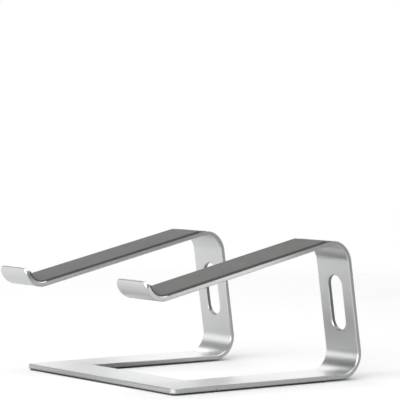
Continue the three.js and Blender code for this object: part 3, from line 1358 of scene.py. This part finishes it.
@dataclass
class Arm:
    """One bent strip with its foot, leg, sloping support and hook, and its two pads.

    Attributes:
        stand: The shared sizes.
        finishes: The materials.
        hand: Which arm it is.
        foot_length: Crossbar's front edge to the start of the lower bend.
        lower_radius: Inside radius of the lower bend.
        leg_length: Straight part between the bends.
        leg_lean: Lean of the leg, forward from upright, in degrees.
        top_radius: Inside radius of the top bend.
        support_length: Straight part that carries the laptop.
        support_slope: Its slope down to the front, in degrees.
        hook_radius: Inside radius of the hook.
        hook_sweep: Turn of the hook in degrees.
        tip_radius: Corner radius at the hook's tip.
        slot_width: Width of the slot in the leg.
        slot_length: Its length over the round ends.
        slot_height: Start of the leg to the slot's middle.
        pad_thick: Thickness of the pad.
        pad_rear: Top bend to the pad's end.
        pad_front: Hook's tip to the pad's end.
        pad_corner: Radius of the pad's four corners.
        pad_round: Radius along the pad's visible edges.
        pad_glued_round: Radius along the edges of its glued side.
        foot_pad_corner: Radius of the foot pad's four corners.
        foot_pad_round: Radius of the foot pad's lower edge.
        lift: Gap under the tongue, which keeps its underside off the strip's own.
    """

    stand: Stand
    finishes: Finishes
    hand: Hand
    foot_length: float = 0.21
    lower_radius: float = 0.0192
    leg_length: float = 0.091
    leg_lean: float = 8.5
    top_radius: float = 0.0206
    support_length: float = 0.2035
    support_slope: float = 12.75
    hook_radius: float = 0.0155
    hook_sweep: float = 101.0
    tip_radius: float = 0.007
    slot_width: float = 0.0212
    slot_length: float = 0.057
    slot_height: float = 0.048
    pad_thick: float = 0.0015
    pad_rear: float = 0.003
    pad_front: float = 0.005
    pad_corner: float = 0.0012
    pad_round: float = 0.00045
    pad_glued_round: float = 0.00012
    foot_pad_corner: float = 0.003
    foot_pad_round: float = 0.0004
    lift: float = 0.00001

    @property
    def name(self) -> str:
        """The hand's name in small letters."""
        return self.hand.name.lower()

    def path(self) -> StripPath:
        """The strip's middle line, from the seam to the hook's tip."""
        stand, half = self.stand, self.stand.sheet / 2
        lower_turn = math.radians(90 + self.leg_lean)
        top_turn = math.radians(90 - self.leg_lean + self.support_slope)
        runs = [
            Run("foot", length=stand.front + self.foot_length - stand.seam_rear),
            Run("lower_bend", radius=self.lower_radius + half, turn=lower_turn),
            Run("leg", length=self.leg_length),
            Run("top_bend", radius=self.top_radius + half, turn=top_turn),
            Run("support", length=self.support_length),
            Run("hook", radius=self.hook_radius + half, turn=-math.radians(self.hook_sweep)),
        ]
        return StripPath((stand.seam_rear, stand.metal_middle), runs, stand.arm_middle(self.hand))

    def strip(self) -> bpy.types.Object:
        """The bent aluminium with its slot, its tongue and the countersinks through that."""
        stand, path = self.stand, self.path()
        slab = Slab(
            half_width=stand.arm_width / 2,
            start=0.0,
            end=path.length,
            profile=stand.edge(),
            end_radius=self.tip_radius,
            slot=RoundSlot(path.start_of("leg") + self.slot_height, self.slot_width, self.slot_length),
            start_bevel=0.0,
            columns=8,
        )
        metal = self.finishes.metal()
        strip = slab_object(f"{self.name}_arm_strip", slab, path, metal)
        bottom = stand.metal_bottom + self.lift
        top = stand.metal_bottom + stand.tongue_thickness
        tongue = tongue_block(f"{self.name}_tongue", stand, self.hand, 0.0, bottom, top, metal)
        combine(strip, [tongue], "UNION")
        sinks = [self._countersink(*place) for place in stand.screw_places(self.hand).values()]
        combine(strip, sinks, "DIFFERENCE")
        return strip

    def _countersink(self, x: float, y: float) -> bpy.types.Object:
        """The room for one screw and its head, as a solid to cut away."""
        stand = self.stand
        screw = CountersunkScrew(self.finishes)
        low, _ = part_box(f"{self.name}_outer_screw")
        shank, head = screw.radius + stand.play, screw.head_radius + stand.play
        rim = float(low[2]) + screw.rim + stand.play / 2
        below, above = stand.metal_bottom - OVERRUN, stand.metal_bottom + stand.sheet
        cone = [(head, below), (head, rim), (shank, rim + head - shank), (shank, above)]
        rings = [(0.0, below), *cone, (0.0, above)]
        return Turning(x, y).shape(f"{self.name}_sink", rings, self.finishes.metal())

    def pad(self) -> bpy.types.Object:
        """The silicone strip that lines the support and the inside of the hook."""
        stand, path = self.stand, self.path()
        low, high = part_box(f"{self.name}_arm_pad")
        silicone = EdgeProfile.rounded(self.pad_thick, self.pad_glued_round, self.pad_round)
        slab = Slab(
            half_width=float(high[0] - low[0]) / 2,
            start=path.start_of("support") + self.pad_rear,
            end=path.length - self.pad_front,
            profile=silicone.with_film(stand.film, stand.film_setback),
            height=-(stand.sheet / 2 + stand.film + self.pad_thick / 2),
            start_radius=self.pad_corner,
            end_radius=self.pad_corner,
            corner_steps=6,
        )
        return slab_object(f"{self.name}_arm_lining", slab, path, [self.finishes.silicone])

    def foot_pad(self) -> bpy.types.Object:
        """The rubber mat under the foot."""
        stand = self.stand
        low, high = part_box(f"{self.name}_foot_pad")
        thick, length = float(high[2] - low[2]), float(high[1] - low[1])
        slab = Slab(
            half_width=float(high[0] - low[0]) / 2,
            start=0.0,
            end=length,
            profile=stand.mat_edge(thick, self.foot_pad_round),
            start_radius=self.foot_pad_corner,
            end_radius=self.foot_pad_corner,
        )
        path = level_path(float(low[1]), thick / 2, length, stand.arm_middle(self.hand))
        return slab_object(f"{self.name}_foot_mat", slab, path, [self.finishes.rubber])


def place_piece(thing: bpy.types.Object, node: str, slot: Slot) -> None:
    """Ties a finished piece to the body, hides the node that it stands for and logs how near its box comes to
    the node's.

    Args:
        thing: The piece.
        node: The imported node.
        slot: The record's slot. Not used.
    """
    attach(thing, BODY)
    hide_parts(node)
    points = np.empty(len(thing.data.vertices) * 3)
    thing.data.vertices.foreach_get("co", points)
    points = points.reshape(-1, 3)
    low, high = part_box(node)
    drift = 1000 * max(np.abs(points.min(0) - low).max(), np.abs(points.max(0) - high).max())
    log.info("%s: %d faces, box within %.2f mm of %s", thing.name, len(thing.data.polygons), drift, node)


class LaptopStand:
    """The whole stand: the crossbar with its mat, and two arms."""

    def __init__(self) -> None:
        """Prepares the shared sizes and the materials."""
        self.stand = Stand()
        self.finishes = Finishes()

    def build(self) -> None:
        """Builds and places every piece."""
        crossbar = Crossbar(self.stand, self.finishes)
        place_piece(crossbar.plate(), "front_crossbar", Slot.ALUMINIUM)
        place_piece(crossbar.mat(), "crossbar_foot_pad", Slot.RUBBER)
        screw = CountersunkScrew(self.finishes)
        for hand in Hand:
            arm = Arm(self.stand, self.finishes, hand)
            place_piece(arm.strip(), f"{arm.name}_arm", Slot.ALUMINIUM)
            place_piece(arm.pad(), f"{arm.name}_arm_pad", Slot.SILICONE)
            place_piece(arm.foot_pad(), f"{arm.name}_foot_pad", Slot.RUBBER)
            for place, spot in self.stand.screw_places(hand).items():
                node = f"{arm.name}_{place}_screw"
                place_piece(screw.build(node, spot), node, Slot.STEEL)


# ---------------------------------------------------------------- studio


def studio_surface(name: str, points: np.ndarray, material: bpy.types.Material) -> bpy.types.Object:
    """Makes a surface of the studio from a grid of points.

    Args:
        name: The object's name.
        points: Array (rows, columns, 3).
        material: Its material.

    Returns:
        The surface.
    """
    mesh = bpy.data.meshes.new(name)
    mesh.from_pydata(points.reshape(-1, 3), [], grid_quads(*points.shape[:2])[:, ::-1].tolist())
    mesh.materials.append(material)
    return new_object(name, mesh)


def glowing_material(name: str, grey: float) -> bpy.types.Material:
    """Makes a material that only glows, in one linear grey."""
    material, graph = new_material(name)
    glow = graph.add("ShaderNodeEmission", {"Color": (grey, grey, grey, 1.0), "Strength": 1.0})
    graph.surface(glow)
    return material


def aimed(place: Triple, target: Triple, roll: float = 0.0) -> Matrix:
    """Puts a lamp or camera at a place, aims it at a target and rolls it by radians about its view."""
    away = Vector(target) - Vector(place)
    turn = away.to_track_quat("-Z", "Y").to_matrix().to_4x4() @ Matrix.Rotation(roll, 4, "Z")
    return Matrix.Translation(place) @ turn


@dataclass(frozen=True)
class SoftBox:
    """A large area light.

    Attributes:
        name: The light's name.
        place: Its place.
        target: What it faces.
        size: Width and height.
        brightness: Radiance of its face.
    """

    name: str
    place: Triple
    target: Triple
    size: tuple[float, float]
    brightness: float

    @classmethod
    def upright(
        cls,
        name: str,
        bearing: float,
        spread: float,
        foot: float,
        top: float,
        distance: float,
        brightness: float,
    ) -> "SoftBox":
        """A box that stands upright and faces the stand.

        Args:
            name: The light's name.
            bearing: Where it stands, in degrees from +X towards +Y.
            spread: How wide it looks from the stand, in degrees.
            foot: Z of its lower edge.
            top: Z of its upper edge.
            distance: How far it stands off.
            brightness: Radiance of its face.

        Returns:
            The box.
        """
        turn, middle = math.radians(bearing), (foot + top) / 2
        place = (distance * math.cos(turn), distance * math.sin(turn), middle)
        width = 2 * distance * math.tan(math.radians(spread) / 2)
        return cls(name, place, (0.0, 0.0, middle), (width, top - foot), brightness)

    def build(self) -> bpy.types.Object:
        """Adds the light to the scene. Its watts are pi times its area times its brightness."""
        lamp = bpy.data.lights.new(self.name, "AREA")
        lamp.shape = "RECTANGLE"
        lamp.size, lamp.size_y = self.size
        lamp.energy = math.pi * self.size[0] * self.size[1] * self.brightness
        thing = bpy.data.objects.new(self.name, lamp)
        bpy.context.scene.collection.objects.link(thing)
        thing.matrix_world = aimed(self.place, self.target)
        thing.visible_camera = False
        return thing


@dataclass(frozen=True)
class GradedCard:
    """A flat horizontal card whose tone can change evenly in one direction, as painted light falloff, and can
    darken under the stand, as a painted shadow.

    Attributes:
        name: The card's name.
        reach: Half its width.
        height: Z of the card.
        first_tone: Linear grey at the grade's start; a change between the two tones is painted light falloff.
        last_tone: Linear grey at its end.
        grade_start: X and Y of the grade's start.
        grade_end: X and Y of its end.
        painted_shadow: Share of the tone that the painted shadow takes away at its middle.
        painted_shadow_place: X and Y of the painted shadow's middle.
        painted_shadow_reach: How far the painted shadow reaches.
        fade: Distances from the origin between which the card thins out to nothing.
        points: Points along each side.
    """

    name: str
    reach: float
    height: float
    first_tone: float
    last_tone: float
    grade_start: tuple[float, float] = (-0.45, -0.1)
    grade_end: tuple[float, float] = (0.3, 0.2)
    painted_shadow: float = 0.0
    painted_shadow_place: tuple[float, float] = (-0.05, -0.03)
    painted_shadow_reach: float = 0.17
    fade: Spread = (0.9, 1.7)
    points: int = 9

    def build(self) -> bpy.types.Object:
        """Adds the card: a grid whose points are spread evenly, with a matt material."""
        span = np.linspace(-self.reach, self.reach, self.points)
        x, y = np.meshgrid(span, span, indexing="ij")
        points = np.stack([x, y, np.full_like(x, self.height)], axis=-1)
        card = studio_surface(self.name, points, self._cloth())
        card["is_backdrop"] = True
        return card

    def _cloth(self) -> bpy.types.Material:
        """The matt material: the graded tone, which is painted light falloff, times the painted shadow's
        shade, thinning out at the card's rim.
        """
        material, graph = new_material(f"{self.name}_surface")
        place = graph.place()
        # painted light falloff: the tone grades from the first to the last tone along one direction
        start, end = Vector((*self.grade_start, 0.0)), Vector((*self.grade_end, 0.0))
        course = (end - start) / (end - start).length_squared
        along = graph.add("ShaderNodeVectorMath", {0: place, 1: tuple(course)}, operation="DOT_PRODUCT")
        grade, tones = (start.dot(course), end.dot(course)), (self.first_tone, self.last_tone)
        tone = self._ramp(graph, along, grade, tones, "LINEAR")
        # painted shadow: the tone darkens towards a place under the stand
        painted_shadow_place = (*self.painted_shadow_place, 0.0)
        from_painted_shadow = graph.add("ShaderNodeVectorMath", {0: place, 1: painted_shadow_place}, operation="DISTANCE")
        shade = self._ramp(graph, from_painted_shadow, (0.0, self.painted_shadow_reach), (1 - self.painted_shadow, 1.0), "SMOOTHSTEP")
        grey = graph.add("ShaderNodeMath", {0: tone, 1: shade}, operation="MULTIPLY")
        cloth = graph.add("ShaderNodeBsdfDiffuse", {"Color": grey.outputs[0]})
        clear = graph.add("ShaderNodeBsdfTransparent")
        off = graph.add("ShaderNodeVectorMath", {0: place}, operation="LENGTH")
        thinning = self._ramp(graph, off, self.fade, (0.0, 1.0), "SMOOTHSTEP")
        mixed = {0: thinning, 1: cloth.outputs[0], 2: clear.outputs[0]}
        graph.surface(graph.add("ShaderNodeMixShader", mixed))
        return material

    @staticmethod
    def _ramp(
        graph: NodeGraph, node: bpy.types.Node, over: Spread, onto: Spread, course: str
    ) -> bpy.types.NodeSocket:
        """Maps a node's value from one spread onto another.

        Args:
            graph: The graph that it belongs to.
            node: The node whose value is mapped.
            over: The value's first and last number.
            onto: What they become.
            course: LINEAR or SMOOTHSTEP.

        Returns:
            The mapped value's socket.
        """
        inputs = {"Value": node.outputs["Value"], "From Min": over[0], "From Max": over[1]}
        inputs |= {"To Min": onto[0], "To Max": onto[1]}
        return graph.add("ShaderNodeMapRange", inputs, interpolation_type=course).outputs["Result"]


@dataclass(frozen=True)
class DarkFlag:
    """A dark card over the stand that only mirrors see: a painted dark reflection, where a laptop's underside
    would be.

    Attributes:
        half_width: Half its width.
        front: Y and Z of its front edge.
        rear: Y and Z of its rear edge.
        tone: Its linear grey, which glows as the painted dark reflection.
        points: Points along each side.
    """

    half_width: float = 0.15
    front: tuple[float, float] = (-0.108, 0.096)
    rear: tuple[float, float] = (0.095, 0.142)
    tone: float = 0.1
    points: int = 5

    def build(self) -> bpy.types.Object:
        """Adds the flag: even shares between its edges, in a grid."""
        span = np.linspace(-self.half_width, self.half_width, self.points)
        across, share = np.meshgrid(span, np.linspace(0, 1, self.points), indexing="ij")
        y = self.front[0] + (self.rear[0] - self.front[0]) * share
        z = self.front[1] + (self.rear[1] - self.front[1]) * share
        points = np.stack([across, y, z], axis=-1)
        # the flag glows dark as a painted reflection; it is no lamp and casts no shadow
        flag = studio_surface("dark_flag", points, glowing_material("dark_flag_painted_reflection", self.tone))
        flag.visible_camera = flag.visible_diffuse = flag.visible_shadow = False
        flag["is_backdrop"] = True
        return flag


@dataclass
class Studio:
    """A pale floor, a white backdrop, an even grey surround and soft boxes.

    The metal mirrors neither the floor that is seen nor the backdrop. It mirrors a greyer floor just
    above the one that is seen, and the surround, as it would mirror the dark side of a light tent.
    That floor is painted darker towards the right rear, as painted light falloff, and under the stand, as a
    painted shadow.

    Attributes:
        surround: Strength of the surround that lights the stand.
        floor: The floor that is seen.
        mirrored_floor: The floor that the metal mirrors, with painted light falloff and a painted shadow.
        dome_radius: Radius of the backdrop.
        dome_foot: Latitude of the backdrop's lower edge, in radians.
        dome_grid: Points up the backdrop and round it.
        boxes: The lights.
    """

    surround: float = 0.38
    floor: GradedCard = GradedCard(
        "studio_floor", reach=1.9, height=-0.0001, first_tone=0.87, last_tone=0.87
    )
    # the mirrored floor is painted from 0.72 down to 0.44 towards the right rear as light falloff, and
    # darkened by 0.8 under the stand as a painted shadow
    mirrored_floor: GradedCard = GradedCard(
        "mirrored_floor",
        reach=3.0,
        height=-0.00003,
        first_tone=0.72,
        last_tone=0.44,
        painted_shadow=0.8,
        fade=(2.4, 3.0),
    )
    dome_radius: float = 14.0
    dome_foot: float = -1.4
    dome_grid: tuple[int, int] = (25, 49)
    boxes: tuple[SoftBox, ...] = (
        SoftBox(
            "overhead_box", place=(-0.2, 0.2, 2.2), target=(0.0, 0.0, 0.0), size=(2.8, 2.8), brightness=1.45
        ),
        SoftBox.upright(
            "camera_box", bearing=283.0, spread=88.0, foot=0.0, top=2.2, distance=2.4, brightness=3.3
        ),
        SoftBox(
            "side_strip",
            place=(0.3, 0.034, 0.108),
            target=(0.12, -0.071, 0.113),
            size=(0.21, 0.075),
            brightness=0.75,
        ),
        SoftBox.upright(
            "rear_box", bearing=140.5, spread=13.0, foot=0.0, top=1.7, distance=2.5, brightness=0.95
        ),
        SoftBox.upright(
            "rear_left_box", bearing=159.0, spread=20.0, foot=0.55, top=1.9, distance=2.5, brightness=1.75
        ),
        SoftBox.upright(
            "left_box", bearing=215.0, spread=15.0, foot=0.0, top=1.1, distance=2.4, brightness=1.35
        ),
    )

    def build(self) -> None:
        """Sets up the floor, the surround and the lights."""
        floor = self.floor.build()
        floor.visible_glossy = False
        mirrored = self.mirrored_floor.build()
        mirrored.visible_camera = mirrored.visible_diffuse = mirrored.visible_shadow = False
        # a painted dark reflection over the stand
        DarkFlag().build()
        self._dome()
        self._surround()
        for box in self.boxes:
            box.build()
        view = bpy.context.scene.view_settings
        view.view_transform = "Standard"
        view.look = "None"

    def _dome(self) -> None:
        """Hangs a white dome behind everything, as a sphere that is cut off near its lower pole.

        On a unit sphere X and Y are the latitude's cosine times the longitude's cosine and sine, and
        Z is the latitude's sine.
        """
        rows, columns = self.dome_grid
        rises, turns = np.linspace(self.dome_foot, math.pi / 2, rows), np.linspace(0, 2 * math.pi, columns)
        latitude, longitude = np.meshgrid(rises, turns, indexing="ij")
        ring = np.cos(latitude)
        unit = np.stack([ring * np.cos(longitude), ring * np.sin(longitude), np.sin(latitude)], axis=-1)
        dome = studio_surface("studio_dome", self.dome_radius * unit, glowing_material("white_dome", 1.0))
        dome.visible_diffuse = dome.visible_glossy = dome.visible_shadow = dome.visible_transmission = False
        dome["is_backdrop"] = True

    def _surround(self) -> None:
        """Makes the world's even grey light."""
        world = bpy.data.worlds.new("studio_surround")
        world.use_nodes = True
        bpy.context.scene.world = world
        graph = NodeGraph(world.node_tree)
        white = (1.0, 1.0, 1.0, 1.0)
        backdrop = graph.add("ShaderNodeBackground", {"Color": white, "Strength": self.surround})
        graph.surface(backdrop, "ShaderNodeOutputWorld")


@dataclass(frozen=True)
class ViewPoint:
    """Where the camera stands.

    Attributes:
        place: The camera's place.
        target: A point in the middle of its view.
        roll: Degrees that it is turned about its view.
        lens: Focal length in millimetres.
        sensor: Width of the sensor in millimetres.
        reach: Distances between which it sees.
    """

    place: Triple = (1.81884, -1.32985, 0.27163)
    target: Triple = (0.03615, -0.00064, 0.18015)
    roll: float = 0.272
    lens: float = 199.84
    sensor: float = 36.0
    reach: Spread = (0.05, 60.0)

    def build(self) -> None:
        """Adds the camera and makes it the scene's."""
        camera = bpy.data.cameras.new("front_quarter_camera")
        camera.lens, camera.sensor_width = self.lens, self.sensor
        camera.clip_start, camera.clip_end = self.reach
        thing = bpy.data.objects.new("front_quarter_camera", camera)
        bpy.context.scene.collection.objects.link(thing)
        thing.matrix_world = aimed(self.place, self.target, math.radians(self.roll))
        bpy.context.scene.camera = thing


def write_sizes() -> None:
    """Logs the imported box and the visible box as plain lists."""
    low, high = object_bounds()
    sizes = {
        "cad_box": [list(CAD_BOX[0]), list(CAD_BOX[1])],
        "visual_box": [list(low), list(high)],
    }
    log.info("packed box %s, visible box %s", sizes["cad_box"], sizes["visual_box"])


def main() -> None:
    """Builds the stand, the studio and the camera."""
    logging.basicConfig(level=logging.INFO, format="%(name)s: %(message)s")
    LaptopStand().build()
    Studio().build()
    ViewPoint().build()
    write_sizes()


if __name__ == "__main__":
    main()
